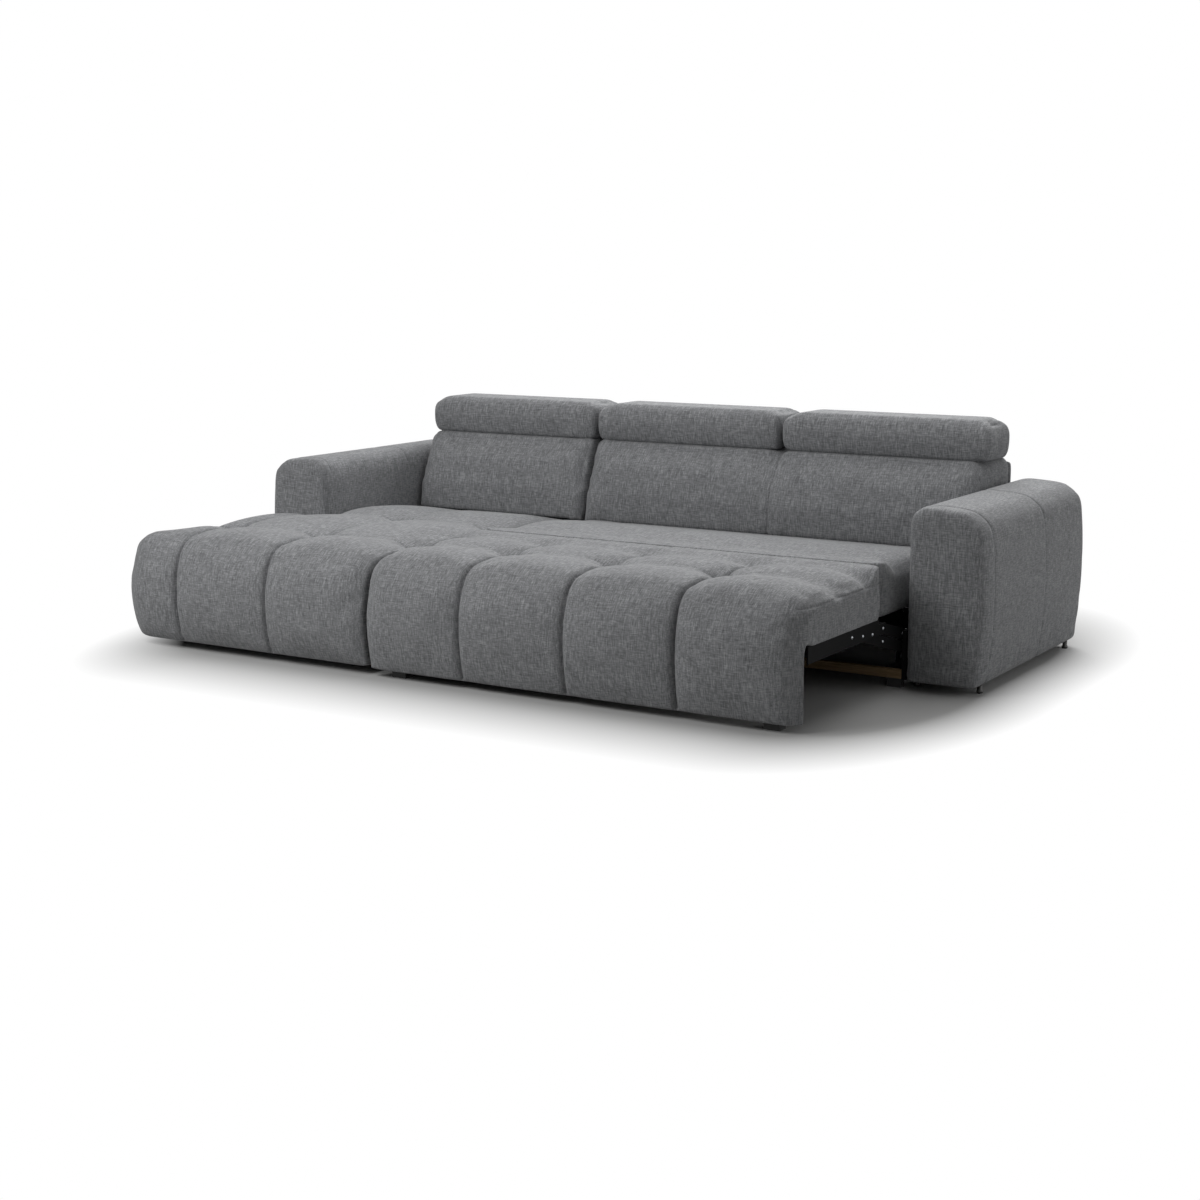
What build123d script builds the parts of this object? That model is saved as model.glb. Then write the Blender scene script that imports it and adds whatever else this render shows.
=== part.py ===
from build123d import *
import os
from math import cos, radians, sin, sqrt

# Corner sofa bed with the bed pulled out and the headrests lying down.
# Millimetres. +X is to the right as seen from the front, +Y to the back, +Z up.
# The origin is on the floor, in the middle of the overall box.

# Overall sizes
overall_width = 2900.0
overall_depth = 1730.0
floor_gap = 28.0

# Arm rests
arm_width = 248.5
arm_depth = 981.0
arm_height = 609.0
arm_top_radius = 72.0
arm_wall = 34.0

# Seats: the pull-out seat has equal columns, the chaise has two more and a corner strip
seat_side_gap = 13.5
module_gap = 10.0
seat_columns = 4
seat_column_width = 397.25
seat_crown = 428.0
seat_groove_level = 412.0
seat_underside = 256.0
front_round = 88.0
tuft_row_depth = 280.0
chaise_second_row_depth = 760.0
front_pad_wall = 37.0
board = 18.0
front_bottom_radius = 26.0
front_belly = 3.0
front_draw_share = 0.6
front_roll_drop = 6.0
row_rise = 2.0
rear_tuck = 4.0

# Pull-out seat and rear pad lengths, measured back from the front
pullout_length = 607.0
soft_crease_depth = 500.0
crease_rise = 3.0
shoulder_drop = 10.0
shoulder_run = 60.0
pad_joint_gap = 12.0
pad_end_round = 30.0
rear_pad_crown = 425.0
rear_pad_shoulder = 8.0
rear_pad_side_inset = 21.0
rear_pad_under_back = 10.0
rear_board = 15.0

# How the cushions draw in: distance from a seam and the depth there
groove_steps = [(0.0, 15.0), (6.0, 8.0), (40.0, 0.0)]
end_steps = [(0.0, 44.0), (20.0, 14.0), (60.0, 0.0)]
soft_end_steps = [(0.0, 30.0), (7.0, 14.0), (34.0, 0.0)]
arm_edge_steps = [(0.0, 16.0), (4.0, 8.0), (12.0, 3.2), (36.0, 0.0)]
smallest_step = 0.5

# Backs
back_foot_depth = 395.0
back_top_depth = 296.0
back_underside = 405.0
back_top = 673.0
back_top_round = 30.0
back_belly = 14.0
back_foam = 92.0
back_top_foam = 43.0
back_end_wall = 26.0
rear_panel_thickness = 30.0
rear_panel_top = 640.0
back_seam_gap = 4.0
back_rail = 44.0
inner_board = 6.0

# Headrests
headrest_gap = 9.0
headrest_height = 135.0
headrest_depth = 254.0
headrest_round = 45.0
headrest_end_draw = 22.0
headrest_side_gap = 6.0
headrest_core = 15.0
headrest_core_margin = 36.0
hinge_inset = 130.0
hinge_strip = 5.0
hinge_strip_width = 24.0
hinge_pin_diameter = 10.0
hinge_play = 0.3
slot_overrun = 1.0

# Swing mechanism of the pull-out seat
seat_travel = 690.0
swing_lean = 75.0
base_pivot_height = 130.0
front_pivot_behind_arm_front = 41.0
swing_arm_spacing = 160.0
swing_bar = 6.0
swing_bar_width = 36.0
pivot_pin_diameter = 16.0
pivot_head_diameter = 26.0
pivot_head = 3.0
head_sides = 6
pivot_play = 0.25
bar_clearance = 6.5
plate = 6.0
rail_drop = 34.0
rail_flange = 40.0
rail_gap = 1.5
rail_plate = 5.0

# Lift links of the rear pad
lift_drop = 178.0
lift_lean = 8.0
lift_pivot_height = 47.0
lift_front_behind_lath = 145.0
lift_link_spacing = 300.0
lift_bar_width = 26.0
lift_pin_diameter = 12.0
lift_head_diameter = 20.0
lift_inset = 60.0
runner_clearance = 2.0

# Base timber
lath_height = 28.0
lath_thickness = 24.0
lath_behind_arm_front = 8.0
lath_lift = 2.0
base_board = 14.0
base_board_top = 190.0
runner_width = 30.0
rear_rail_height = 70.0
rear_rail_thickness = 35.0

# Chaise box and spring decks
chaise_side_cover = 12.0
deck_level = 300.0
strap = 3.0
strap_width = 60.0
strap_pitch = 130.0
frame_rail = 40.0
frame_rail_height = 30.0

# Feet
foot_width = 55.0
foot_depth = 40.0
foot_inset = 104.0
glide_size = 30.0
glide_inset = 34.0
block_foot = 50.0
chaise_foot_depth = 230.0

# Places worked out from the sizes
half_width = overall_width / 2
front_y = -overall_depth / 2
back_y = overall_depth / 2
arm_front_y = back_y - arm_depth
arm_inner_x = half_width - arm_width
seat_right = arm_inner_x - seat_side_gap
seat_left = seat_right - seat_columns * seat_column_width
seat_middle = (seat_left + seat_right) / 2
chaise_right = seat_left - module_gap
chaise_column_width = (chaise_right + arm_inner_x) / 2
tuft_y = front_y + tuft_row_depth
pullout_rear = front_y + pullout_length
rear_pad_front = pullout_rear + pad_joint_gap
back_foot_y = back_y - back_foot_depth
back_top_y = back_y - back_top_depth
panel_y = back_y - rear_panel_thickness
cheek_y = panel_y - 2 * back_rail
rear_rail_y = cheek_y - rear_rail_thickness
rear_pad_rear = back_foot_y + rear_pad_under_back
lath_front = arm_front_y + lath_behind_arm_front
lath_rear = lath_front + lath_thickness
lath_low = floor_gap + lath_lift
front_board_y = front_y + front_pad_wall
fascia_rear = front_board_y + board
frame_top = seat_underside + frame_rail_height
headrest_bottom = back_top + headrest_gap
hinge_y = back_top_y + headrest_round
hinge_z = headrest_bottom + headrest_round
swing_length = seat_travel / 2 / sin(radians(swing_lean))
lift_length = lift_drop / cos(radians(lift_lean))
arc_share = 1 - 1 / sqrt(2)


def block(x0, x1, y0, y1, z0, z1):
    """A block between two corners."""
    return Pos((x0 + x1) / 2, (y0 + y1) / 2, (z0 + z1) / 2) * Box(x1 - x0, y1 - y0, z1 - z0)


def foot(x, y, width, depth, height):
    """A block foot that stands on the floor."""
    return block(x - width / 2, x + width / 2, y - depth / 2, y + depth / 2, 0, height)


def outline(x, start, steps):
    """A closed outline at one x. A step is (point,) for a line or (middle, point) for an arc, as (y, z)."""
    edges = []
    here = start
    closing = [] if steps[-1][-1] == start else [(start,)]
    for step in steps + closing:
        there = step[-1]
        if len(step) == 1:
            edges.append(Edge.make_line((x, *here), (x, *there)))
        else:
            edges.append(Edge.make_three_point_arc((x, *here), (x, *step[0]), (x, *there)))
        here = there
    return Wire(edges)


def quarter(start, end, bulge_y, bulge_z):
    """An arc step from start to end that bulges towards (bulge_y, bulge_z), the corner that it rounds."""
    middle_y = bulge_y + (start[0] + end[0] - 2 * bulge_y) * arc_share
    middle_z = bulge_z + (start[1] + end[1] - 2 * bulge_z) * arc_share
    return ((middle_y, middle_z), end)


def swell(here, there, level):
    """An arc step over a stuffed row, from one seam to the next, that reaches the given level."""
    return (((here[0] + there[0]) / 2, level), there)


def stations(seams, left_steps, right_steps):
    """Places across a cushion with how far its cover draws in there: seams are grooved, both ends rounded."""
    places = []
    last = len(seams) - 2
    for i in range(len(seams) - 1):
        left = left_steps if i == 0 else groove_steps
        right = right_steps if i == last else groove_steps
        places += [(seams[i] + away, depth) for away, depth in left]
        places += [(seams[i + 1] - away, depth) for away, depth in reversed(right)]
    kept = [places[0]]
    for place in places[1:]:
        if place[0] - kept[-1][0] > smallest_step:
            kept.append(place)
    return kept


def cushion(profile, places):
    """A cushion lofted through its side outline at each place across it."""
    return Solid.make_loft([profile(x, draw) for x, draw in places], ruled=True)


def bar(x0, x1, from_point, to_point, width, hole):
    """A flat link with round ends and an eye at each end, between two (y, z) points."""
    (y0, z0), (y1, z1) = from_point, to_point
    middle = Plane(origin=(x0, (y0 + y1) / 2, (z0 + z1) / 2), x_dir=(0, y1 - y0, z1 - z0), z_dir=(1, 0, 0))
    length = sqrt((y1 - y0) ** 2 + (z1 - z0) ** 2)
    shape = SlotCenterToCenter(length, width)
    for end in (-length / 2, length / 2):
        shape -= Pos(end, 0) * Circle(hole / 2)
    return extrude(middle * shape, amount=x1 - x0)


def pin(x_seat, x_end, y, z, diameter, head_diameter, head):
    """A pivot pin that stands on a plate at x_seat and ends in a hexagon head at x_end."""
    way = 1 if x_end > x_seat else -1
    shank = abs(x_end - x_seat)
    place = Plane(origin=(x_seat, y, z), z_dir=(way, 0, 0))
    shape = extrude(place * Circle(diameter / 2), amount=shank)
    cap = Plane(origin=(x_end - way * head, y, z), z_dir=(way, 0, 0))
    return shape + extrude(cap * RegularPolygon(head_diameter / 2, head_sides), amount=head)


def mirrored(x):
    """The place on the other side of the pull-out seat's middle."""
    return 2 * seat_middle - x


def both_sides(shape):
    """A shape on the right of the pull-out seat and its mirror image on the left."""
    return [shape, mirror(shape, about=Plane(origin=(seat_middle, 0, 0), z_dir=(1, 0, 0)))]


parts = {}


def keep(name, *shapes):
    """Keep one or more solids as one named piece."""
    solids = [solid for shape in shapes for solid in shape.solids()]
    parts[name] = solids[0] if len(solids) == 1 else Compound(children=solids)


# Tufted surface that the seat and the chaise share: face, front roll and first tuft row
def front_steps(draw):
    face = front_y + draw
    crown = seat_crown - draw
    roll = (face + front_round, crown - front_roll_drop)
    return [
        ((face, crown - front_round),),
        quarter((face, crown - front_round), roll, face, crown),
        swell(roll, (tuft_y, seat_groove_level - draw), crown),
    ]


def pullout_profile(x, draw):
    crown = seat_crown - draw
    groove = seat_groove_level - draw
    rear = pullout_rear - min(draw, pad_end_round)
    second = (front_y + soft_crease_depth, groove)
    shoulder = (pullout_rear - shoulder_run, crown - shoulder_drop)
    top_edge = (rear, seat_crown - front_round)
    low_edge = (rear, seat_underside + pad_end_round)
    return outline(x, (front_y + draw, seat_underside), front_steps(draw) + [
        swell((tuft_y, groove), second, crown + row_rise),
        swell(second, shoulder, (second[1] + shoulder[1]) / 2 + crease_rise),
        quarter(shoulder, top_edge, rear, shoulder[1]),
        (low_edge,),
        ((rear - pad_end_round, seat_underside),),
    ])


def front_pad_profile(x, draw):
    face = front_y + front_belly + draw * front_draw_share
    low = floor_gap
    turn = min(front_bottom_radius, (front_board_y - face) / 2)
    return outline(x, (front_board_y, low), [
        ((face + turn, low),),
        quarter((face + turn, low), (face, low + turn), face, low),
        ((face - front_belly, (low + seat_underside) / 2), (face, seat_underside)),
        ((front_board_y, seat_underside),),
    ])


# Pull-out seat: padded top and front on a timber frame
seat_seams = [seat_left + i * seat_column_width for i in range(seat_columns + 1)]
seat_places = stations(seat_seams, soft_end_steps, end_steps)
frame_left = seat_left + front_pad_wall
frame_right = seat_right - front_pad_wall
frame_rear = pullout_rear - front_pad_wall
seat_hollow = block(frame_left, frame_right, front_board_y, frame_rear, seat_underside, frame_top + strap)
keep("pullout_seat_pad", cushion(pullout_profile, seat_places) - seat_hollow)
keep("pullout_front_pad", cushion(front_pad_profile, seat_places))
keep("pullout_front_board", block(frame_left, frame_right, front_board_y, fascia_rear, floor_gap, frame_top))
keep("pullout_side_rails",
     *both_sides(block(frame_right - frame_rail, frame_right, fascia_rear, frame_rear, seat_underside, frame_top)))
cross_left = frame_left + frame_rail
cross_right = frame_right - frame_rail
keep("pullout_cross_rails", *[
    block(cross_left, cross_right, y, y + frame_rail, seat_underside, frame_top)
    for y in (fascia_rear, (fascia_rear + frame_rear - frame_rail) / 2, frame_rear - frame_rail)])
strap_count = int((cross_right - cross_left) / strap_pitch)
strap_step = (cross_right - cross_left) / strap_count
strap_xs = [cross_left + (i + 0.5) * strap_step for i in range(strap_count)]
keep("pullout_webbing", *[
    block(x - strap_width / 2, x + strap_width / 2, fascia_rear, frame_rear, frame_top, frame_top + strap)
    for x in strap_xs])
foot_y = front_board_y + board / 2
keep("pullout_feet", *[
    foot(x, foot_y, foot_width, foot_depth, floor_gap)
    for x in (seat_left + foot_inset, seat_right - foot_inset)])

# Swing mechanism: side plates on the base, two pairs of links and the steel rails of the pull-out seat
bar_outer = seat_right - rear_pad_side_inset + bar_clearance + swing_bar
bar_inner = bar_outer - swing_bar
rail_inner = bar_outer + rail_gap
rail_outer = rail_inner + rail_plate
plate_inner = arm_inner_x - base_board - plate
front_pivot = (arm_front_y + front_pivot_behind_arm_front, base_pivot_height)
rear_pivot = (front_pivot[0] + swing_arm_spacing, base_pivot_height)
swing_rise = swing_length * cos(radians(swing_lean))


def seat_pivot(pivot):
    """Where a swing link meets the pull-out seat while the bed is open."""
    return (pivot[0] - seat_travel / 2, pivot[1] + swing_rise)


eye = pivot_pin_diameter + 2 * pivot_play
for name, pivot in (("front_swing_links", front_pivot), ("rear_swing_links", rear_pivot)):
    keep(name, *both_sides(bar(bar_inner, bar_outer, pivot, seat_pivot(pivot), swing_bar_width, eye)))
pin_end = bar_inner - pivot_head - pivot_play
rail_top = seat_underside
rail_low = seat_pivot(front_pivot)[1] - swing_bar_width / 2
rail_rear = seat_pivot(rear_pivot)[0] + swing_bar_width / 2
rail_web = block(rail_inner, rail_outer, fascia_rear, rail_rear, rail_low, rail_top - rail_drop / 2)
rail_web += block(rail_inner, rail_outer, fascia_rear, frame_rear, rail_low, rail_top)
rail_foot = block(rail_outer - rail_flange, rail_outer, fascia_rear, frame_rear, rail_top - plate, rail_top)
keep("pullout_steel_rails", *both_sides(rail_web + rail_foot))
keep("seat_pivot_pins", *[
    solid
    for pivot in (front_pivot, rear_pivot)
    for solid in both_sides(pin(rail_inner, pin_end, *seat_pivot(pivot), pivot_pin_diameter,
                                pivot_head_diameter, pivot_head))])
plate_margin = swing_bar_width
side_plate = block(plate_inner, plate_inner + plate, lath_rear, rear_pivot[0] + plate_margin,
                   base_pivot_height - plate_margin, base_pivot_height + plate_margin)
side_plate = fillet(side_plate.edges().filter_by(Axis.X), plate_margin / 2)
keep("mechanism_plates", *both_sides(side_plate))
keep("base_pivot_pins", *[
    solid
    for pivot in (front_pivot, rear_pivot)
    for solid in both_sides(pin(plate_inner, pin_end, *pivot, pivot_pin_diameter,
                                pivot_head_diameter, pivot_head))])


# Rear bed pad on its board and lift links
def rear_pad_profile(x, draw):
    front = rear_pad_front + min(draw, pad_end_round)
    rear = rear_pad_rear - min(draw, pad_end_round)
    top = rear_pad_crown - draw
    edge = rear_pad_crown - front_round
    shoulder = top - rear_pad_shoulder
    return outline(x, (front, seat_underside), [
        ((front, edge),),
        quarter((front, edge), (front + shoulder_run, shoulder), front, shoulder),
        (((front + rear) / 2, top), (rear - front_round, shoulder)),
        quarter((rear - front_round, shoulder), (rear, edge), rear, shoulder),
        ((rear, seat_underside),),
    ])


rear_pad_left = seat_left + rear_pad_side_inset
rear_pad_right = seat_right - rear_pad_side_inset
keep("rear_pad", cushion(rear_pad_profile, stations([rear_pad_left, rear_pad_right], end_steps, end_steps)))
board_under = seat_underside - rear_board
keep("rear_pad_board", block(rear_pad_left + pad_end_round, rear_pad_right - pad_end_round,
                             rear_pad_front + pad_end_round, rear_pad_rear - pad_end_round,
                             board_under, seat_underside))
lift_outer = rear_pad_right - lift_inset
lift_inner = lift_outer - swing_bar
lift_bracket_outer = lift_inner - pivot_head
runner_inner = lift_outer + pivot_head + plate + runner_clearance
lift_eye = lift_pin_diameter + 2 * pivot_play
front_lift = (lath_rear + lift_front_behind_lath, lift_pivot_height)
rear_lift = (front_lift[0] + lift_link_spacing, lift_pivot_height)
lift_shift = lift_length * sin(radians(lift_lean))


def pad_pivot(pivot):
    """Where a lift link meets the rear pad while the bed is open."""
    return (pivot[0] + lift_shift, pivot[1] + lift_drop)


pad_brackets = []
pad_pins = []
base_brackets = []
base_pins = []
for name, pivot in (("front_lift_links", front_lift), ("rear_lift_links", rear_lift)):
    y, z = pad_pivot(pivot)
    keep(name, *both_sides(bar(lift_inner, lift_outer, pivot, (y, z), lift_bar_width, lift_eye)))
    low = z - lift_bar_width / 2
    bracket = block(lift_bracket_outer - plate, lift_bracket_outer, y - lift_bar_width, y + lift_bar_width,
                    low, board_under)
    pad_brackets += both_sides(bracket)
    pad_pins += both_sides(pin(lift_bracket_outer, lift_outer + pivot_head + pivot_play, y, z,
                               lift_pin_diameter, lift_head_diameter, pivot_head - pivot_play))
    base_brackets += both_sides(block(runner_inner - plate, runner_inner, pivot[0] - lift_bar_width,
                                      pivot[0] + lift_bar_width, lath_low,
                                      lift_pivot_height + lift_bar_width / 2))
    base_pins += both_sides(pin(runner_inner - plate, lift_inner - pivot_head + pivot_play, *pivot,
                                lift_pin_diameter, lift_head_diameter, pivot_head - 2 * pivot_play))
keep("rear_pad_brackets", *pad_brackets)
keep("rear_pad_pins", *pad_pins)
keep("lift_base_brackets", *base_brackets)
keep("lift_base_pins", *base_pins)

# Base timber under the pull-out seat
keep("base_front_lath", block(mirrored(arm_inner_x - base_board), arm_inner_x - base_board,
                              lath_front, lath_rear, lath_low, lath_low + lath_height))
keep("base_rear_rail", block(mirrored(arm_inner_x - base_board), arm_inner_x - base_board, rear_rail_y,
                             rear_rail_y + rear_rail_thickness, floor_gap, floor_gap + rear_rail_height))
keep("base_runners", *both_sides(block(runner_inner, runner_inner + runner_width, lath_rear, rear_rail_y,
                                       lath_low, lath_low + lath_height)))
keep("base_right_board", block(arm_inner_x - base_board, arm_inner_x, lath_front, panel_y,
                               floor_gap, base_board_top))
base_left_board_x = mirrored(arm_inner_x - base_board)
keep("base_left_board", block(chaise_right, base_left_board_x, lath_front, panel_y, floor_gap, base_board_top))
base_foot_xs = (base_left_board_x + block_foot / 2, arm_inner_x - base_board - block_foot / 2)
keep("base_feet", *[
    foot(x, rear_rail_y + rear_rail_thickness / 2, block_foot, block_foot, floor_gap) for x in base_foot_xs], *[
    foot(x, (lath_front + lath_rear) / 2, block_foot, lath_thickness, lath_low) for x in base_foot_xs])


# Chaise: tufted cushion over a timber box, with a corner strip in front of the left arm
def corner_profile(x, draw):
    crown = seat_crown - draw
    groove = seat_groove_level - draw
    rear = (arm_front_y, groove - rear_tuck)
    return outline(x, (front_y + draw, seat_underside), front_steps(draw) + [
        swell((tuft_y, groove), rear, crown + row_rise),
        ((arm_front_y, seat_underside),),
    ])


def chaise_profile(x, draw):
    crown = seat_crown - draw
    groove = seat_groove_level - draw
    second = (front_y + chaise_second_row_depth, groove)
    rear = (back_foot_y, groove - rear_tuck)
    return outline(x, (front_y + draw, seat_underside), front_steps(draw) + [
        swell((tuft_y, groove), second, crown + row_rise),
        swell(second, rear, crown),
        ((back_foot_y, seat_underside),),
    ])


chaise_seams = [-arm_inner_x, -arm_inner_x + chaise_column_width, chaise_right]
box_left = -half_width + front_pad_wall
box_right = chaise_right - chaise_side_cover
box_rear = back_foot_y
box_top = deck_level - strap
hollow = block(-arm_inner_x, box_right, front_board_y, box_rear, seat_underside, deck_level)
keep("chaise_pad", cushion(chaise_profile, stations(chaise_seams, groove_steps, soft_end_steps)) - hollow)
corner_hollow = block(box_left, -arm_inner_x, front_board_y, arm_front_y, seat_underside, deck_level)
keep("chaise_corner_pad",
     cushion(corner_profile, stations([-half_width, -arm_inner_x], end_steps, groove_steps)) - corner_hollow)
keep("chaise_front_pad",
     cushion(front_pad_profile, stations([-half_width, *chaise_seams], end_steps, soft_end_steps)))
keep("chaise_side_pads",
     block(-half_width, box_left, front_board_y, arm_front_y, floor_gap, seat_underside),
     block(box_right, chaise_right, front_board_y, box_rear, floor_gap, seat_underside))
keep("chaise_front_board", block(box_left, box_right, front_board_y, fascia_rear, floor_gap, box_top))
keep("chaise_side_boards",
     block(box_left, box_left + board, fascia_rear, arm_front_y, floor_gap, box_top),
     block(-arm_inner_x, -arm_inner_x + board, arm_front_y, cheek_y, floor_gap, box_top),
     block(box_right - board, box_right, fascia_rear, cheek_y, floor_gap, box_top))
inner_left = -arm_inner_x + board
inner_right = box_right - board
keep("chaise_cross_boards",
     block(inner_left, inner_right, box_rear - board, box_rear, floor_gap, box_top),
     block(box_left + board, -arm_inner_x, arm_front_y - board, arm_front_y, floor_gap, box_top),
     block(inner_left, inner_right, rear_rail_y, cheek_y, floor_gap, floor_gap + rear_rail_height))
deck_count = int((box_rear - board - fascia_rear) / strap_pitch)
deck_step = (box_rear - board - fascia_rear) / deck_count
deck_ys = [fascia_rear + (i + 0.5) * deck_step for i in range(deck_count)]
keep("chaise_webbing", *[
    block(inner_left if y > arm_front_y - strap_width else box_left, box_right,
          y - strap_width / 2, y + strap_width / 2, box_top, deck_level)
    for y in deck_ys])
chaise_foot_y = front_y + chaise_foot_depth
keep("chaise_feet", *[
    foot(x, y, block_foot, block_foot, floor_gap)
    for x, y in ((box_left + block_foot / 2, chaise_foot_y), (box_right - block_foot / 2, chaise_foot_y),
                 (inner_left + block_foot, box_rear - block_foot / 2),
                 (inner_right - block_foot, box_rear - block_foot / 2))])


# Arms: padded covers over timber boxes
def arm_profile_at(side):
    """The outline of an arm across its width, drawn in by the given depth; side is 1 on the right, -1 on the left."""
    def section(y, draw):
        inner = arm_inner_x + draw
        outer = half_width - draw
        top = arm_height - draw
        low = floor_gap
        turn = arm_top_radius
        points = [(inner, low), (inner, top - turn), (inner + turn, top), (outer - turn, top),
                  (outer, top - turn), (outer, low)]
        inner_mid = (inner + turn * arc_share, top - turn * arc_share)
        outer_mid = (outer - turn * arc_share, top - turn * arc_share)
        place = [(side * px, y, pz) for px, pz in points]
        return Wire([
            Edge.make_line(place[0], place[1]),
            Edge.make_three_point_arc(place[1], (side * inner_mid[0], y, inner_mid[1]), place[2]),
            Edge.make_line(place[2], place[3]),
            Edge.make_three_point_arc(place[3], (side * outer_mid[0], y, outer_mid[1]), place[4]),
            Edge.make_line(place[4], place[5]),
            Edge.make_line(place[5], place[0]),
        ])
    return section


arm_places = [(arm_front_y + away, draw) for away, draw in arm_edge_steps]
arm_places += [(back_y - away, draw) for away, draw in reversed(arm_edge_steps)]
for side, name in ((-1, "left"), (1, "right")):
    section = arm_profile_at(side)
    arm = Solid.make_loft([section(y, draw) for y, draw in arm_places], ruled=True)
    x0, x1 = sorted((side * (arm_inner_x + arm_wall), side * (half_width - arm_wall)))
    y0 = arm_front_y + arm_wall
    y1 = back_y - arm_wall
    top = arm_height - arm_wall
    arm_hollow = block(x0, x1, y0, y1, floor_gap, top)
    keep(name + "_arm_pad", arm - arm_hollow)
    keep(name + "_arm_frame",
         block(x0, x0 + board, y0, y1, floor_gap, top - board), block(x1 - board, x1, y0, y1, floor_gap, top - board),
         block(x0, x1, y0, y1, top - board, top),
         block(x0 + board, x1 - board, y0, y0 + board, floor_gap, top - board),
         block(x0 + board, x1 - board, y1 - board, y1, floor_gap, top - board))
glide_ys = (arm_front_y + glide_inset + arm_wall, back_y - glide_inset - arm_wall)
glide_xs = (arm_inner_x + arm_wall / 2, half_width - arm_wall / 2)
keep("arm_glides", *[
    foot(side * x, y, glide_size, glide_size, floor_gap)
    for side in (-1, 1) for x in glide_xs for y in glide_ys])


# Backs: upholstered covers over timber frames, closed behind by padded panels
def back_profile(x, draw):
    foot = back_foot_y + draw
    face = back_top_y + draw
    top = back_top - draw
    turn = back_top_round
    slope = (back_top_y - back_foot_y) / (back_top - back_underside)
    bend = (face - slope * turn, top - turn)
    belly = ((foot + bend[0]) / 2 - back_belly, (back_underside + bend[1]) / 2)
    return outline(x, (foot, back_underside), [
        (belly, bend),
        quarter(bend, (face + turn, top), face, top),
        ((panel_y - turn, top),),
        quarter((panel_y - turn, top), (panel_y, top - turn), panel_y, top),
        ((panel_y, back_underside),),
    ])


def back_hollow_points():
    """The inside of a back, as (y, z) corners."""
    ceiling = back_top - back_top_foam
    front_top = hinge_y - hinge_strip_width / 2 - inner_board
    return [(back_foot_y + back_foam, back_underside), (front_top, ceiling), (panel_y, ceiling),
            (panel_y, back_underside)]


def prism(x0, x1, points):
    """A straight bar along X with the given (y, z) corners."""
    face = Plane(origin=(x0, 0, 0), x_dir=(0, 1, 0), z_dir=(1, 0, 0)) * Polygon(*points, align=None)
    return extrude(face, amount=x1 - x0, dir=(1, 0, 0))


back_seam_x = (seat_left + chaise_right) / 2
headrest_spans = []
hinge_legs = []
backs = (("left", [-arm_inner_x, back_seam_x]), ("right", [back_seam_x, seat_middle, arm_inner_x]))
for name, seams in backs:
    ends = [seams[0] + back_seam_gap / 2, *seams[1:-1], seams[-1] - back_seam_gap / 2]
    pad = cushion(back_profile, stations(ends, soft_end_steps, soft_end_steps))
    x0 = ends[0] + back_end_wall
    x1 = ends[-1] - back_end_wall
    corners = back_hollow_points()
    pad -= prism(x0, x1, corners)
    ceiling = corners[1][1]
    keep(name + "_back_board", prism(x0, x1, [
        corners[0], corners[1], (corners[1][0] + inner_board, ceiling), (corners[0][0] + inner_board, back_underside)]))
    cheek = [(corners[0][0] + inner_board, back_underside), (corners[1][0] + inner_board, ceiling), (panel_y, ceiling),
             (panel_y, back_underside)]
    cheek_xs = [x0] + [seam - board / 2 for seam in seams[1:-1]] + [x1 - board]
    frame = [prism(x, x + board, cheek) for x in cheek_xs]
    frame += [block(x, x + board, cheek_y, panel_y, floor_gap, back_underside) for x in cheek_xs]
    rail_y = hinge_y - hinge_strip_width / 2
    for left, right in zip(cheek_xs[:-1], cheek_xs[1:]):
        frame.append(block(left + board, right, rail_y, rail_y + back_rail, ceiling - back_rail, ceiling))
        frame.append(block(left + board, right, panel_y - board, panel_y, ceiling - back_rail, ceiling))
        frame.append(block(left + board, right, panel_y - board, panel_y, floor_gap + rear_rail_height,
                           floor_gap + rear_rail_height + back_rail))
    for left, right in zip(seams[:-1], seams[1:]):
        span = (left + back_seam_gap / 2 + headrest_side_gap, right - back_seam_gap / 2 - headrest_side_gap)
        headrest_spans.append(span)
        for x in (span[0] + hinge_inset, span[1] - hinge_inset - hinge_strip):
            slot = block(x - hinge_play, x + hinge_strip + hinge_play, rail_y - hinge_play,
                         rail_y + hinge_strip_width + hinge_play, ceiling - back_rail, back_top + slot_overrun)
            pad -= slot
            frame = [piece - slot for piece in frame]
            leg = block(x, x + hinge_strip, rail_y, rail_y + hinge_strip_width, ceiling - back_rail, hinge_z)
            eye_plane = Plane(origin=(x, hinge_y, hinge_z), z_dir=(1, 0, 0))
            leg += extrude(eye_plane * Circle(hinge_strip_width / 2), amount=hinge_strip)
            leg += extrude(eye_plane * Circle(hinge_pin_diameter / 2), amount=2 * hinge_strip + 2 * hinge_play)
            hinge_legs.append(leg)
    keep(name + "_back_pad", pad)
    keep(name + "_back_frame", *frame)
    keep(name + "_rear_panel", block(seams[0] + back_seam_gap / 2, seams[-1] - back_seam_gap / 2, panel_y, back_y,
                                     floor_gap, rear_panel_top))
keep("headrest_hinge_legs", *hinge_legs)


# Headrests: rounded bolsters over ply cores, each on two hinge leaves
def bolster(left, right):
    """A rounded bolster between two places across the sofa, drawn in at both ends."""
    shape = block(left, right, back_top_y, back_top_y + headrest_depth, headrest_bottom,
                  headrest_bottom + headrest_height)
    shape = fillet(shape.edges().filter_by(Axis.X), headrest_round)
    ends = shape.faces().sort_by(Axis.X)
    return chamfer(ends[0].outer_wire().edges() + ends[-1].outer_wire().edges(), headrest_end_draw)


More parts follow.
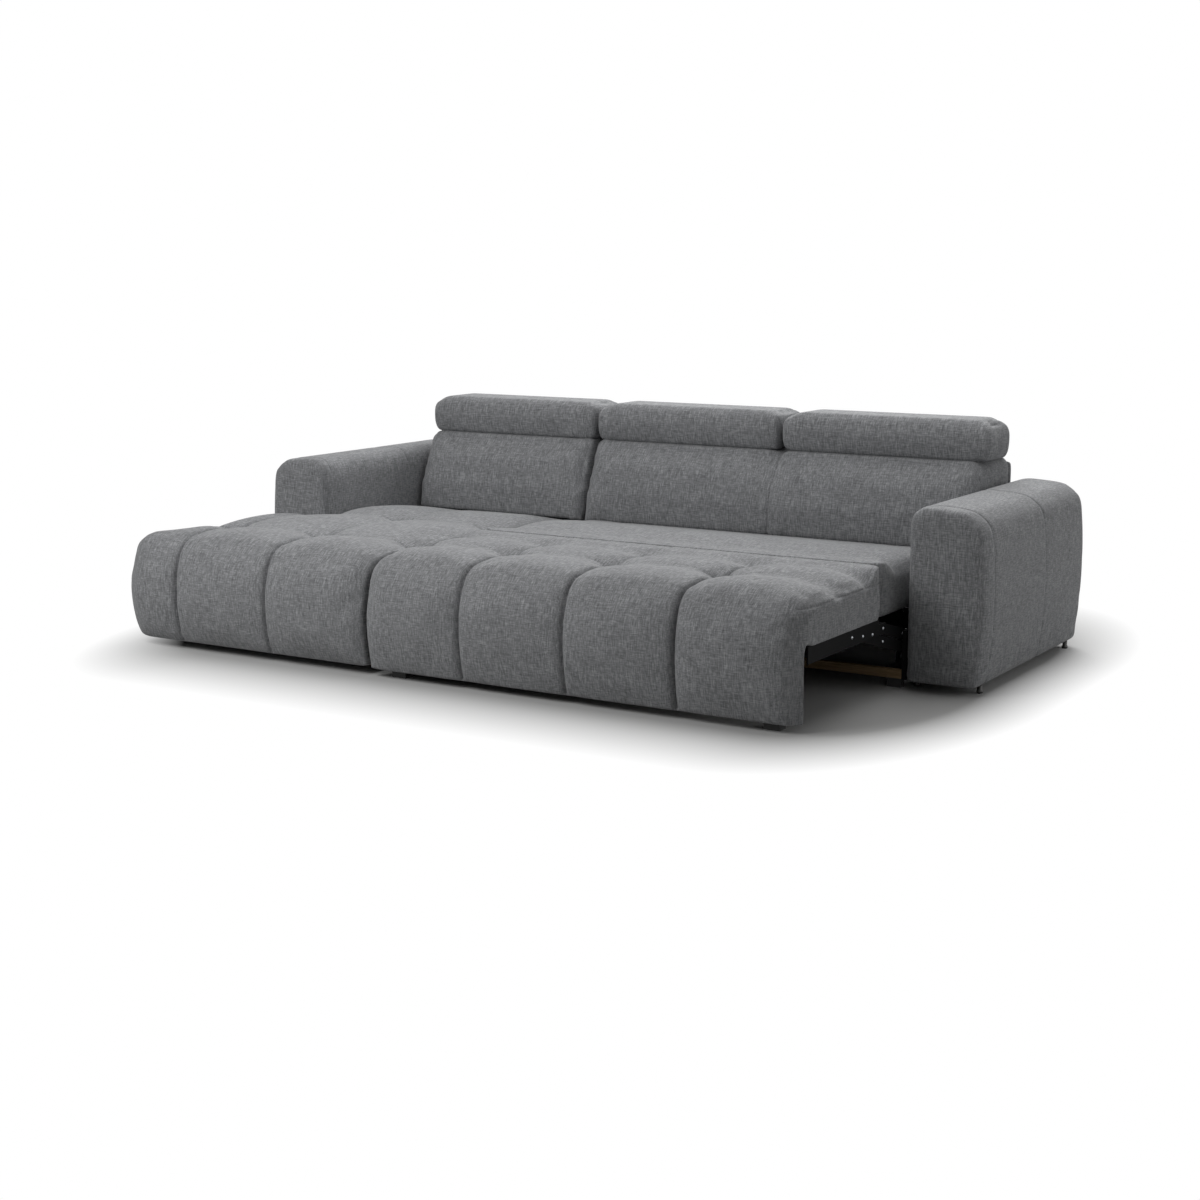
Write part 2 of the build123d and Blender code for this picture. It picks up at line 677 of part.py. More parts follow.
core_low = hinge_z - headrest_core - hinge_strip_width / 2
core_top = core_low + headrest_core
core_front = hinge_y + hinge_strip_width
core_rear = back_top_y + headrest_depth - headrest_core_margin
for name, (left, right) in zip(("left", "middle", "right"), headrest_spans):
    pad = bolster(left, right)
    core = block(left + headrest_core_margin, right - headrest_core_margin, core_front, core_rear, core_low, core_top)
    pad -= core
    leaves = []
    for x in (left + hinge_inset, right - hinge_inset - hinge_strip):
        pad -= block(x - hinge_strip / 2, x + hinge_strip + hinge_play, back_top_y - hinge_strip,
                     hinge_y + hinge_strip_width / 2 + slot_overrun, headrest_bottom - slot_overrun,
                     hinge_z + hinge_strip_width / 2 + slot_overrun)
        leaf_x = x + hinge_strip + hinge_play
        leaf = block(leaf_x, leaf_x + hinge_strip, hinge_y - hinge_strip_width / 2, (core_front + core_rear) / 2,
                     core_top, hinge_z + hinge_strip_width / 2)
        pad -= leaf
        pad -= Pos(2 * hinge_play, 0, 0) * leaf
        eye_plane = Plane(origin=(leaf_x, hinge_y, hinge_z), z_dir=(1, 0, 0))
        leaves.append(leaf - extrude(eye_plane * Circle(hinge_pin_diameter / 2 + hinge_play), amount=hinge_strip))
    keep(name + "_headrest_pad", pad)
    keep(name + "_headrest_core", core)
    keep(name + "_headrest_hinge", *leaves)

# Write one file for each piece
os.makedirs("parts", exist_ok=True)
for name, shape in parts.items():
    export_step(shape, os.path.join("parts", name + ".step"))
print(len(parts), "pieces; swing", round(2 * swing_lean), "degrees; lift", round(90 - lift_lean), "degrees")
print("seat pivot", seat_pivot(front_pivot), "base pivot", front_pivot, "rear pivot", rear_pivot)
print("lift pivots", front_lift, rear_lift, "pad pivot", pad_pivot(front_lift), "hinge", hinge_y, hinge_z)
print("headrests", headrest_spans)
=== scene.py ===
import math

import bpy
import numpy as np
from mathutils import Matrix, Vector


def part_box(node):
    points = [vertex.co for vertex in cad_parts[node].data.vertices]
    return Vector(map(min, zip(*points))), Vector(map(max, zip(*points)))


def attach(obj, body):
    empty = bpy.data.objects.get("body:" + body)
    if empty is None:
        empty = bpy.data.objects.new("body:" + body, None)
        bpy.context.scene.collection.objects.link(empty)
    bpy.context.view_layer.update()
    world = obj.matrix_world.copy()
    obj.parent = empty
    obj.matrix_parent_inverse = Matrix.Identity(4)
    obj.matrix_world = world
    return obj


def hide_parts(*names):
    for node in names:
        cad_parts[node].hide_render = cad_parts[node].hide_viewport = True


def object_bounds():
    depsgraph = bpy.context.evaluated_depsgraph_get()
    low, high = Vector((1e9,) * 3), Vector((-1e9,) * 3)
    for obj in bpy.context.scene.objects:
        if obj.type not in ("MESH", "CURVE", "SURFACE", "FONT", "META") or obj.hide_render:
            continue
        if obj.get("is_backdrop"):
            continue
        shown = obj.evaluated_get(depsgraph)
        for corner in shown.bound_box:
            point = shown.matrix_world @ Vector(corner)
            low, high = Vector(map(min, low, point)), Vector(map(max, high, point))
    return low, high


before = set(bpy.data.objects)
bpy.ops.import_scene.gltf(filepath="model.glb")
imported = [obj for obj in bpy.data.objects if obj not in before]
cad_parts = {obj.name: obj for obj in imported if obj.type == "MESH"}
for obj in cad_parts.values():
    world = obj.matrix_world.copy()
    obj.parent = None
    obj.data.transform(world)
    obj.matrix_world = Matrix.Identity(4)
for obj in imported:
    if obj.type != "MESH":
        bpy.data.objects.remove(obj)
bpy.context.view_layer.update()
scene = bpy.context.scene

# Studio floor and backdrop
# A wide floor takes the soft shadow near the object. There it is painted mid-grey, not white, as painted
# shade that deepens the shadow.
# Away from the object the camera sees it as plain white, so that it has no edge.
scene.view_settings.view_transform = "Standard"


def colour(code):
    """Linear colour of an sRGB hex value."""
    parts = [int(code[i:i + 2], 16) / 255 for i in (1, 3, 5)]
    return tuple(c / 12.92 if c <= 0.04045 else ((c + 0.055) / 1.055) ** 2.4 for c in parts) + (1.0,)


def add(tree, kind, props=None, values=None, links=None):
    """One shader node with its properties, input values and input links."""
    made = tree.nodes.new(kind)
    for key, value in (props or {}).items():
        setattr(made, key, value)
    for key, value in (values or {}).items():
        made.inputs[key].default_value = value
    for key, source in (links or {}).items():
        tree.links.new(source, made.inputs[key])
    return made


def new_material(name):
    """An empty node material and its tree."""
    material = bpy.data.materials.new(name)
    material.use_nodes = True
    material.node_tree.nodes.clear()
    return material, material.node_tree


def select_only(*pieces):
    """Selects these objects alone and makes the first one active."""
    bpy.ops.object.select_all(action="DESELECT")
    for piece in pieces:
        piece.select_set(True)
    bpy.context.view_layer.objects.active = pieces[0]


floor_size = 60.0
floor_middle = (-0.02, 0.15, 0.0)
floor_core = (1.08, 0.345, 1.0)
floor_fade = (0.26, 0.47, 1.0)
fade_start = 1.5
bpy.ops.object.select_all(action="DESELECT")
bpy.ops.mesh.primitive_plane_add(size=floor_size, location=(0, 0, 0))
floor = bpy.context.object
floor.name = "studio_floor"
# Matt paint has no shine, so only the shadow reads on it. Its mid-grey is painted shade that deepens that
# shadow.
floor_paint, tree = new_material("floor_paint_grey_as_painted_shade")
path = add(tree, "ShaderNodeLightPath")
paint = add(tree, "ShaderNodeBsdfDiffuse", values={"Color": colour("#bdbdbc"), "Roughness": 0.0})
white = add(tree, "ShaderNodeEmission", values={"Color": (1, 1, 1, 1), "Strength": 1.0})
where = add(tree, "ShaderNodeTexCoord")
offset = add(tree, "ShaderNodeVectorMath", {"operation": "SUBTRACT"}, {1: floor_middle},
             {0: where.outputs["Object"]})
sides = add(tree, "ShaderNodeVectorMath", {"operation": "ABSOLUTE"}, links={0: offset.outputs["Vector"]})
past = add(tree, "ShaderNodeVectorMath", {"operation": "SUBTRACT"}, {1: floor_core},
           {0: sides.outputs["Vector"]})
clear_of = add(tree, "ShaderNodeVectorMath", {"operation": "MAXIMUM"}, {1: (0, 0, 0)},
               {0: past.outputs["Vector"]})
shares = add(tree, "ShaderNodeVectorMath", {"operation": "DIVIDE"}, {1: floor_fade},
             {0: clear_of.outputs["Vector"]})
away = add(tree, "ShaderNodeVectorMath", {"operation": "LENGTH"}, links={0: shares.outputs["Vector"]})
fade = add(tree, "ShaderNodeMapRange", {"clamp": True},
           {"From Min": fade_start, "From Max": fade_start + 1},
           {"Value": away.outputs["Value"]})
seen = add(tree, "ShaderNodeMath", {"operation": "MULTIPLY"},
           links={0: fade.outputs["Result"], 1: path.outputs["Is Camera Ray"]})
sweep = add(tree, "ShaderNodeMixShader",
            links={0: seen.outputs["Value"], 1: paint.outputs["BSDF"], 2: white.outputs["Emission"]})
add(tree, "ShaderNodeOutputMaterial", links={"Surface": sweep.outputs["Shader"]})
floor.data.materials.append(floor_paint)
floor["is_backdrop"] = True

# Studio light
# Five soft boxes: one overhead, one behind, one in front on the left, and two small ones on the right.
# The white surroundings add a weak fill, and show in full to the camera and in shiny metal.
fill_strength = 0.14
white_strength = 1.0
world = bpy.data.worlds.new("white_studio")
scene.world = world
world.use_nodes = True
tree = world.node_tree
tree.nodes.clear()
path = add(tree, "ShaderNodeLightPath")
clear = add(tree, "ShaderNodeMath", {"operation": "MAXIMUM"},
            links={0: path.outputs["Is Camera Ray"], 1: path.outputs["Is Glossy Ray"]})
through = add(tree, "ShaderNodeMath", {"operation": "MAXIMUM"},
              links={0: clear.outputs["Value"], 1: path.outputs["Is Transmission Ray"]})
strength = add(tree, "ShaderNodeMapRange", values={"To Min": fill_strength, "To Max": white_strength},
               links={"Value": through.outputs["Value"]})
sky = add(tree, "ShaderNodeBackground", values={"Color": (1, 1, 1, 1)},
          links={"Strength": strength.outputs["Result"]})
add(tree, "ShaderNodeOutputWorld", links={"Surface": sky.outputs["Background"]})


def soft_box(name, place, aim, size, watts):
    """A square area lamp that points at a place."""
    lamp = bpy.data.lights.new(name, "AREA")
    lamp.energy = watts
    lamp.size = size
    holder = bpy.data.objects.new(name, lamp)
    scene.collection.objects.link(holder)
    holder.location = place
    holder.rotation_euler = (Vector(aim) - Vector(place)).to_track_quat("-Z", "Y").to_euler()


soft_box("overhead_soft_box", place=(-0.4, 1.0, 3.6), aim=(-0.1, -0.2, 0.3), size=2.6, watts=30.0)
soft_box("rear_soft_box", place=(-0.2, 3.4, 3.0), aim=(0.0, -0.4, 0.3), size=2.6, watts=140.0)
soft_box("front_soft_box", place=(-1.4, -2.9, 2.7), aim=(-0.3, -0.6, 0.3), size=2.4, watts=74.0)
soft_box("right_soft_box", place=(1.5, 0.3, 2.6), aim=(1.2, -0.2, 0.4), size=1.2, watts=8.0)
soft_box("side_soft_box", place=(3.6, 0.6, 1.0), aim=(1.45, 0.4, 0.3), size=1.5, watts=11.0)

# Camera
# An eye 1.4 m above the floor at the front right, fitted to the straight edges of the photograph.
# A small shift of the lens sets the picture's middle row.
eye = Vector((3.602, -5.915, 1.403))
sight = Vector((-0.5158, 0.8408, -0.16416))
image_size = 1200.0
focal_pixels = 1955.86
middle_row = 575.94
lens_data = bpy.data.cameras.new("photograph_view")
lens_data.sensor_width = 36.0
lens_data.lens = focal_pixels / image_size * lens_data.sensor_width
lens_data.shift_y = (middle_row - image_size / 2) / image_size
camera = bpy.data.objects.new("photograph_view", lens_data)
scene.collection.objects.link(camera)
camera.location = eye
camera.rotation_euler = sight.to_track_quat("-Z", "Y").to_euler()
scene.camera = camera

# Bare timber
# Sawn softwood laths and boards, glued and stapled: the base's front lath, the chaise box, the arm frames
# and the core boards of the headrests. The front lath shows as raw wood below the pulled-out seat.


def dress(names, material):
    """Gives CAD pieces their finish."""
    for name in names:
        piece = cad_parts[name]
        piece.data.materials.clear()
        piece.data.materials.append(material)


grain_width = 0.004
grain_length = 0.11
grain_scale = (1 / grain_length, 1 / grain_width, 1 / grain_width)
# Sawn spruce is dry and dull, with fine darker grain lines that run along the front lath.
# Its colours are drawn about half as bright as pale spruce: painted shade for the shadow under the pulled-out
# seat.
sawn_spruce_in_painted_shade, tree = new_material("sawn_spruce_in_painted_shade")
where = add(tree, "ShaderNodeTexCoord")
along = add(tree, "ShaderNodeMapping", values={"Scale": grain_scale},
            links={"Vector": where.outputs["Object"]})
grain = add(tree, "ShaderNodeTexNoise", values={"Scale": 1.0, "Detail": 5.0, "Roughness": 0.6},
            links={"Vector": along.outputs["Vector"]})
tint = add(tree, "ShaderNodeValToRGB", links={"Fac": grain.outputs["Fac"]})
tint.color_ramp.elements[0].position = 0.32
tint.color_ramp.elements[0].color = colour("#806545")
tint.color_ramp.elements[1].position = 0.7
tint.color_ramp.elements[1].color = colour("#ab9270")
fibres = add(tree, "ShaderNodeBump", values={"Strength": 0.35, "Distance": 0.0006},
             links={"Height": grain.outputs["Fac"]})
wood = add(tree, "ShaderNodeBsdfPrincipled", values={"Roughness": 0.78, "Specular IOR Level": 0.3},
           links={"Base Color": tint.outputs["Color"], "Normal": fibres.outputs["Normal"]})
add(tree, "ShaderNodeOutputMaterial", links={"Surface": wood.outputs["BSDF"]})
dress(["base_front_lath", "chaise_front_board", "chaise_side_boards", "chaise_cross_boards",
       "left_arm_frame", "right_arm_frame",
       "left_headrest_core", "middle_headrest_core", "right_headrest_core"], sawn_spruce_in_painted_shade)

# Lined boards
# The base's runners, rear rail and side boards, the seat's frame, the rear pad's board and the backs' frames.
# They are timber, glued and stapled together, and drawn nearly black: painted shade for the dark inside of
# the base and the gaps under the backs.
lining_pitch = 0.0012
# A matted, felt-like skin, drawn nearly black as painted shade, that swallows the light.
painted_shade_lining, tree = new_material("black_lining_cloth")
where = add(tree, "ShaderNodeTexCoord")
felt = add(tree, "ShaderNodeTexNoise", values={"Scale": 1 / lining_pitch, "Detail": 3.0},
           links={"Vector": where.outputs["Object"]})
tint = add(tree, "ShaderNodeValToRGB", links={"Fac": felt.outputs["Fac"]})
tint.color_ramp.elements[0].color = colour("#0c0c0d")
tint.color_ramp.elements[1].color = colour("#19191a")
matted = add(tree, "ShaderNodeBump", values={"Strength": 0.3, "Distance": 0.0003},
             links={"Height": felt.outputs["Fac"]})
lining = add(tree, "ShaderNodeBsdfPrincipled", values={"Roughness": 0.95, "Specular IOR Level": 0.15},
             links={"Base Color": tint.outputs["Color"], "Normal": matted.outputs["Normal"]})
add(tree, "ShaderNodeOutputMaterial", links={"Surface": lining.outputs["BSDF"]})
dress(["base_rear_rail", "base_runners", "base_left_board", "base_right_board", "pullout_front_board",
       "pullout_side_rails", "pullout_cross_rails", "rear_pad_board", "left_back_board", "right_back_board",
       "left_back_frame", "right_back_frame"], painted_shade_lining)

# Feet and glides
# Black moulded blocks are screwed under the seat, the base and the chaise.
# Four small round glides of grey nylon are nailed under each arm.
mould_grains_per_metre = 900.0
# Moulded polypropylene is black, with a fine grain from the mould that breaks up the shine.
black_plastic, tree = new_material("moulded_black_polypropylene")
where = add(tree, "ShaderNodeTexCoord")
mould_grain = add(tree, "ShaderNodeTexNoise", values={"Scale": mould_grains_per_metre, "Detail": 2.0},
                  links={"Vector": where.outputs["Object"]})
moulded = add(tree, "ShaderNodeBump", values={"Strength": 0.25, "Distance": 0.0003},
              links={"Height": mould_grain.outputs["Fac"]})
dull = add(tree, "ShaderNodeMapRange", values={"To Min": 0.48, "To Max": 0.66},
           links={"Value": mould_grain.outputs["Fac"]})
plastic = add(tree, "ShaderNodeBsdfPrincipled", values={"Base Color": colour("#191919")},
              links={"Roughness": dull.outputs["Result"], "Normal": moulded.outputs["Normal"]})
add(tree, "ShaderNodeOutputMaterial", links={"Surface": plastic.outputs["BSDF"]})
dress(["pullout_feet", "base_feet", "chaise_feet"], black_plastic)
scuffs_per_metre = 160.0
# Moulded nylon has a low shine and is drawn dark grey, as painted shade that sinks the glides into the shadow
# under the arms; scuffs leave paler patches on it.
nylon_dark_as_painted_shade, tree = new_material("moulded_grey_nylon")
where = add(tree, "ShaderNodeTexCoord")
scuffs = add(tree, "ShaderNodeTexNoise", values={"Scale": scuffs_per_metre, "Detail": 4.0},
             links={"Vector": where.outputs["Object"]})
tint = add(tree, "ShaderNodeValToRGB", links={"Fac": scuffs.outputs["Fac"]})
tint.color_ramp.elements[0].color = colour("#2b2b2a")
tint.color_ramp.elements[1].color = colour("#454442")
nylon = add(tree, "ShaderNodeBsdfPrincipled", values={"Roughness": 0.45},
            links={"Base Color": tint.outputs["Color"]})
add(tree, "ShaderNodeOutputMaterial", links={"Surface": nylon.outputs["BSDF"]})
turned_steps = 20
turned_weld = 0.0001


def turned(name, profile, places, towards):
    """Round pieces turned about an axis: a profile of radius and height is spun, then set at each place."""
    outline = [(radius, 0.0, level) for radius, level in profile]
    edges = [(i, i + 1) for i in range(len(profile) - 1)]
    mesh = bpy.data.meshes.new(name)
    mesh.from_pydata(outline, edges, [])
    pieces = []
    for place, way in zip(places, towards):
        piece = bpy.data.objects.new(name, mesh.copy())
        scene.collection.objects.link(piece)
        select_only(piece)
        spin = piece.modifiers.new("spin", "SCREW")
        spin.steps = turned_steps
        spin.render_steps = turned_steps
        spin.use_merge_vertices = True
        spin.merge_threshold = turned_weld
        spin.use_normal_calculate = True
        bpy.ops.object.modifier_apply(modifier=spin.name)
        piece.rotation_euler = Vector(way).to_track_quat("Z", "Y").to_euler()
        piece.location = place
        bpy.ops.object.transform_apply(location=True, rotation=True, scale=False)
        bpy.ops.object.shade_smooth()
        pieces.append(piece)
    select_only(*pieces)
    bpy.ops.object.join()
    return bpy.context.object


glide_profile = [(0.0, 0.0), (0.008, 0.0), (0.0105, 0.0025), (0.0105, 0.009),
                 (0.008, 0.0125), (0.008, 0.028), (0.0, 0.028)]
glide_half = 0.015
glide_low, glide_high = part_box("arm_glides")
arm_low, arm_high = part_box("right_arm_pad")
glide_outer = glide_high.x - glide_half
glide_inner = arm_low.x + arm_high.x - glide_outer
glide_places = [(x, y, 0.0) for x in (-glide_outer, -glide_inner, glide_inner, glide_outer)
                for y in (glide_low.y + glide_half, glide_high.y - glide_half)]
glides = turned("nylon_glides", glide_profile, glide_places, [(0, 0, 1)] * len(glide_places))
glides.data.materials.append(nylon_dark_as_painted_shade)
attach(glides, "base")
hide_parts("arm_glides")

# Steel mechanism
# Flat links, plates and rails are punched from sheet steel and powder-coated black. They turn on
# zinc-plated pins, and domed rivet heads show on the outside of the seat's rails and of the swing arms.
peel_per_metre = 450.0
# Powder coat is deep black, with an orange-peel skin and a weak, broad shine.
black_steel, tree = new_material("powder_coated_steel")
where = add(tree, "ShaderNodeTexCoord")
orange_peel = add(tree, "ShaderNodeTexNoise", values={"Scale": peel_per_metre, "Detail": 3.0},
                  links={"Vector": where.outputs["Object"]})
coat = add(tree, "ShaderNodeBump", values={"Strength": 0.2, "Distance": 0.0002},
           links={"Height": orange_peel.outputs["Fac"]})
sheen = add(tree, "ShaderNodeMapRange", values={"To Min": 0.7, "To Max": 0.9},
            links={"Value": orange_peel.outputs["Fac"]})
steel = add(tree, "ShaderNodeBsdfPrincipled",
            values={"Base Color": colour("#070708"), "Specular IOR Level": 0.15},
            links={"Roughness": sheen.outputs["Result"], "Normal": coat.outputs["Normal"]})
add(tree, "ShaderNodeOutputMaterial", links={"Surface": steel.outputs["BSDF"]})
dress(["mechanism_plates", "front_swing_links", "rear_swing_links", "pullout_steel_rails",
       "front_lift_links", "rear_lift_links", "rear_pad_brackets", "lift_base_brackets",
       "headrest_hinge_legs", "left_headrest_hinge", "middle_headrest_hinge",
       "right_headrest_hinge"], black_steel)
spangles_per_metre = 260.0
# Zinc plate is a bright grey metal, with small spangles that spread its highlights.
bright_zinc, tree = new_material("zinc_plated_steel")
where = add(tree, "ShaderNodeTexCoord")
spangle = add(tree, "ShaderNodeTexNoise", values={"Scale": spangles_per_metre, "Detail": 2.0},
              links={"Vector": where.outputs["Object"]})
dull = add(tree, "ShaderNodeMapRange", values={"To Min": 0.22, "To Max": 0.4},
           links={"Value": spangle.outputs["Fac"]})
tint = add(tree, "ShaderNodeValToRGB", links={"Fac": spangle.outputs["Fac"]})
tint.color_ramp.elements[0].color = colour("#85888c")
tint.color_ramp.elements[1].color = colour("#b0b3b7")
zinc = add(tree, "ShaderNodeBsdfPrincipled", values={"Metallic": 1.0},
           links={"Base Color": tint.outputs["Color"], "Roughness": dull.outputs["Result"]})
add(tree, "ShaderNodeOutputMaterial", links={"Surface": zinc.outputs["BSDF"]})
dress(["base_pivot_pins", "seat_pivot_pins", "lift_base_pins", "rear_pad_pins"], bright_zinc)
rivet_profile = [(0.0, 0.0034), (0.0022, 0.0031), (0.0041, 0.0021), (0.0053, 0.0007), (0.0056, -0.001)]
rail_low, rail_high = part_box("pullout_steel_rails")
pin_low, pin_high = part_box("seat_pivot_pins")
pin_radius = (pin_high.z - pin_low.z) / 2
pin_rows = (pin_low.y + pin_radius, pin_high.y - pin_radius)
screw_spots = [(-0.5, 0.232), (-0.345, 0.216)]
rivet_spots = screw_spots + [(y, pin_low.z + pin_radius) for y in pin_rows]
rail_places = [(x, y, z) for x in (rail_low.x, rail_high.x) for y, z in rivet_spots]
rail_ways = [(1 if x > 0 else -1, 0, 0) for x, _, _ in rail_places]
rivets = turned("rail_rivets", rivet_profile, rail_places, rail_ways)
rivets.data.materials.append(bright_zinc)
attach(rivets, "pullout")
for body, links in (("front_arms", "front_swing_links"), ("rear_arms", "rear_swing_links")):
    link_low, link_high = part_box(links)
    middle = (link_low + link_high) / 2
    link_places = [(link_low.x, middle.y, middle.z), (link_high.x, middle.y, middle.z)]
    rivets = turned(links + "_rivets", rivet_profile, link_places, [(-1, 0, 0), (1, 0, 0)])
    rivets.data.materials.append(bright_zinc)
    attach(rivets, body)

# Webbing decks
# Dark elastic straps carry the foam of the seat and of the chaise.
# They are stretched across the timber frames and stapled down.
strap_rib = 0.0045
wave_period = 0.31
# Woven webbing is dull, with slanting ribs that catch a little light; they are drawn coarse enough to show.
dark_webbing, tree = new_material("woven_elastic_webbing")
where = add(tree, "ShaderNodeTexCoord")
ribs = add(tree, "ShaderNodeTexWave", {"bands_direction": "DIAGONAL"},
           {"Scale": wave_period / strap_rib, "Distortion": 0.4},
           {"Vector": where.outputs["Object"]})
tint = add(tree, "ShaderNodeValToRGB", links={"Fac": ribs.outputs["Fac"]})
tint.color_ramp.elements[0].color = colour("#232427")
tint.color_ramp.elements[1].color = colour("#3d3f43")
raised = add(tree, "ShaderNodeBump", values={"Strength": 0.4, "Distance": 0.0005},
             links={"Height": ribs.outputs["Fac"]})
cloth = add(tree, "ShaderNodeBsdfPrincipled", values={"Roughness": 0.85},
            links={"Base Color": tint.outputs["Color"], "Normal": raised.outputs["Normal"]})
add(tree, "ShaderNodeOutputMaterial", links={"Surface": cloth.outputs["BSDF"]})
dress(["pullout_webbing", "chaise_webbing"], dark_webbing)

# Chaise
# A long tufted cushion in grey chenille, stuffed over foam on the timber box. Its channels run from the lower
# front edge over the roll to the tufts and on, and a strip of it turns the corner in front of the left arm.
slub_length = 0.026
slub_width = 0.003
yarn_pitch = 0.0016
patch_size = 0.09
slub_spread = 0.45
warp_weight = 1.15
weft_weight = 0.9
# Woven chenille has a short, dull pile with pale and dark slubs both ways of the weave, and slightly worn
# patches. Its yarns are finer than this; they are drawn coarser, so that they show.
grey_chenille, tree = new_material("woven_grey_chenille")
where = add(tree, "ShaderNodeTexCoord")
tilt = add(tree, "ShaderNodeSeparateXYZ", links={"Vector": where.outputs["Normal"]})
sideways = add(tree, "ShaderNodeMath", {"operation": "POWER"}, {1: 2.0}, {0: tilt.outputs["X"]})
forwards = add(tree, "ShaderNodeMath", {"operation": "SUBTRACT"}, {0: 1.0}, {1: sideways.outputs["Value"]})
along, fine = 1 / slub_length, 1 / slub_width
thread_runs = [((fine, along, along), forwards, warp_weight), ((along, fine, fine), forwards, weft_weight),
               ((along, fine, along), sideways, warp_weight), ((along, along, fine), sideways, weft_weight)]
slubs = None
for number, (pitch, share, weight) in enumerate(thread_runs):
    shift = (number * 3.1, number * 1.7, number)
    stretch = add(tree, "ShaderNodeMapping", values={"Scale": pitch, "Location": shift},
                  links={"Vector": where.outputs["Object"]})
    slub = add(tree, "ShaderNodeTexNoise", values={"Scale": 1.0, "Detail": 2.0, "Roughness": 0.6},
               links={"Vector": stretch.outputs["Vector"]})
    centred = add(tree, "ShaderNodeMapRange", {"clamp": False},
                  {"To Min": -weight / 2, "To Max": weight / 2},
                  {"Value": slub.outputs["Fac"]})
    part = add(tree, "ShaderNodeMath", {"operation": "MULTIPLY"},
               links={0: centred.outputs["Result"], 1: share.outputs["Value"]})
    if slubs:
        part = add(tree, "ShaderNodeMath", {"operation": "ADD"},
                   links={0: slubs.outputs["Value"], 1: part.outputs["Value"]})
    slubs = part
spread = add(tree, "ShaderNodeMapRange", values={"From Min": -slub_spread, "From Max": slub_spread},
             links={"Value": slubs.outputs["Value"]})
tint = add(tree, "ShaderNodeValToRGB", links={"Fac": spread.outputs["Result"]})
tint.color_ramp.elements[0].position = 0.0
tint.color_ramp.elements[0].color = colour("#555658")
tint.color_ramp.elements[1].position = 1.0
tint.color_ramp.elements[1].color = colour("#b3b4b6")
middle = tint.color_ramp.elements.new(0.5)
middle.color = colour("#848587")
patches = add(tree, "ShaderNodeTexNoise",
              values={"Scale": 1 / patch_size, "Detail": 5.0, "Roughness": 0.72},
              links={"Vector": where.outputs["Object"]})
shade = add(tree, "ShaderNodeMapRange",
            values={"From Min": 0.3, "From Max": 0.7, "To Min": 0.91, "To Max": 1.08},
            links={"Value": patches.outputs["Fac"]})
worn = add(tree, "ShaderNodeVectorMath", {"operation": "SCALE"},
           links={0: tint.outputs["Color"], "Scale": shade.outputs["Result"]})
yarns = add(tree, "ShaderNodeTexNoise", values={"Scale": 1 / yarn_pitch, "Detail": 2.0},
            links={"Vector": where.outputs["Object"]})
pile = add(tree, "ShaderNodeMath", {"operation": "ADD"},
           links={0: yarns.outputs["Fac"], 1: spread.outputs["Result"]})
weave = add(tree, "ShaderNodeBump", values={"Strength": 0.35, "Distance": 0.001},
            links={"Height": pile.outputs["Value"]})
chenille = add(tree, "ShaderNodeBsdfPrincipled",
               values={"Roughness": 0.92, "Specular IOR Level": 0.15,
                       "Sheen Weight": 0.15, "Sheen Roughness": 0.5},
               links={"Base Color": worn.outputs["Vector"], "Normal": weave.outputs["Normal"]})
add(tree, "ShaderNodeOutputMaterial", links={"Surface": chenille.outputs["BSDF"]})
weld = 0.00005
core_grow = 0.01
stuffing_frames = 20


def points_of(piece):
    """Vertex places and outward directions as arrays."""
    count = len(piece.data.vertices)
    places = np.empty(count * 3, np.float32)
    facing = np.empty(count * 3, np.float32)
    piece.data.vertices.foreach_get("co", places)
    piece.data.vertex_normals.foreach_get("vector", facing)
    return places.reshape(-1, 3).astype(float), facing.reshape(-1, 3).astype(float)


def move_points(piece, places):
    """Writes vertex places back."""
    piece.data.vertices.foreach_set("co", places.astype(np.float32).ravel())
    piece.data.update()


def apply_modifier(piece, kind, **settings):
    """Adds one modifier, sets it and applies it."""
    select_only(piece)
    modifier = piece.modifiers.new(kind.lower(), kind)
    for key, value in settings.items():
        setattr(modifier, key, value)
    bpy.ops.object.modifier_apply(modifier=modifier.name)


def copied(nodes, name):
    """One new object from copies of CAD meshes, with their loose triangles joined up."""
    copies = []
    for node in nodes:
        copy = bpy.data.objects.new(name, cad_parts[node].data.copy())
        scene.collection.objects.link(copy)
        copies.append(copy)
    select_only(*copies)
    if len(copies) > 1:
        bpy.ops.object.join()
    piece = bpy.context.object
    bpy.ops.object.mode_set(mode="EDIT")
    bpy.ops.mesh.select_all(action="SELECT")
    bpy.ops.mesh.remove_doubles(threshold=weld)
    bpy.ops.object.mode_set(mode="OBJECT")
    return piece


def core(nodes):
    """The solid inside of a padded piece: the hull of its boards, grown a little into the foam."""
    inside = copied(nodes, "core")
    bpy.ops.object.mode_set(mode="EDIT")
    bpy.ops.mesh.select_all(action="SELECT")
    bpy.ops.mesh.convex_hull()
    bpy.ops.object.mode_set(mode="OBJECT")
    places, _ = points_of(inside)
    low, high = places.min(axis=0), places.max(axis=0)
    middle, half = (low + high) / 2, (high - low) / 2
    grown = (places - middle) * (half + core_grow) / half + middle
    grown[:, 2] = np.maximum(grown[:, 2], low[2])
    move_points(inside, grown)
    return inside


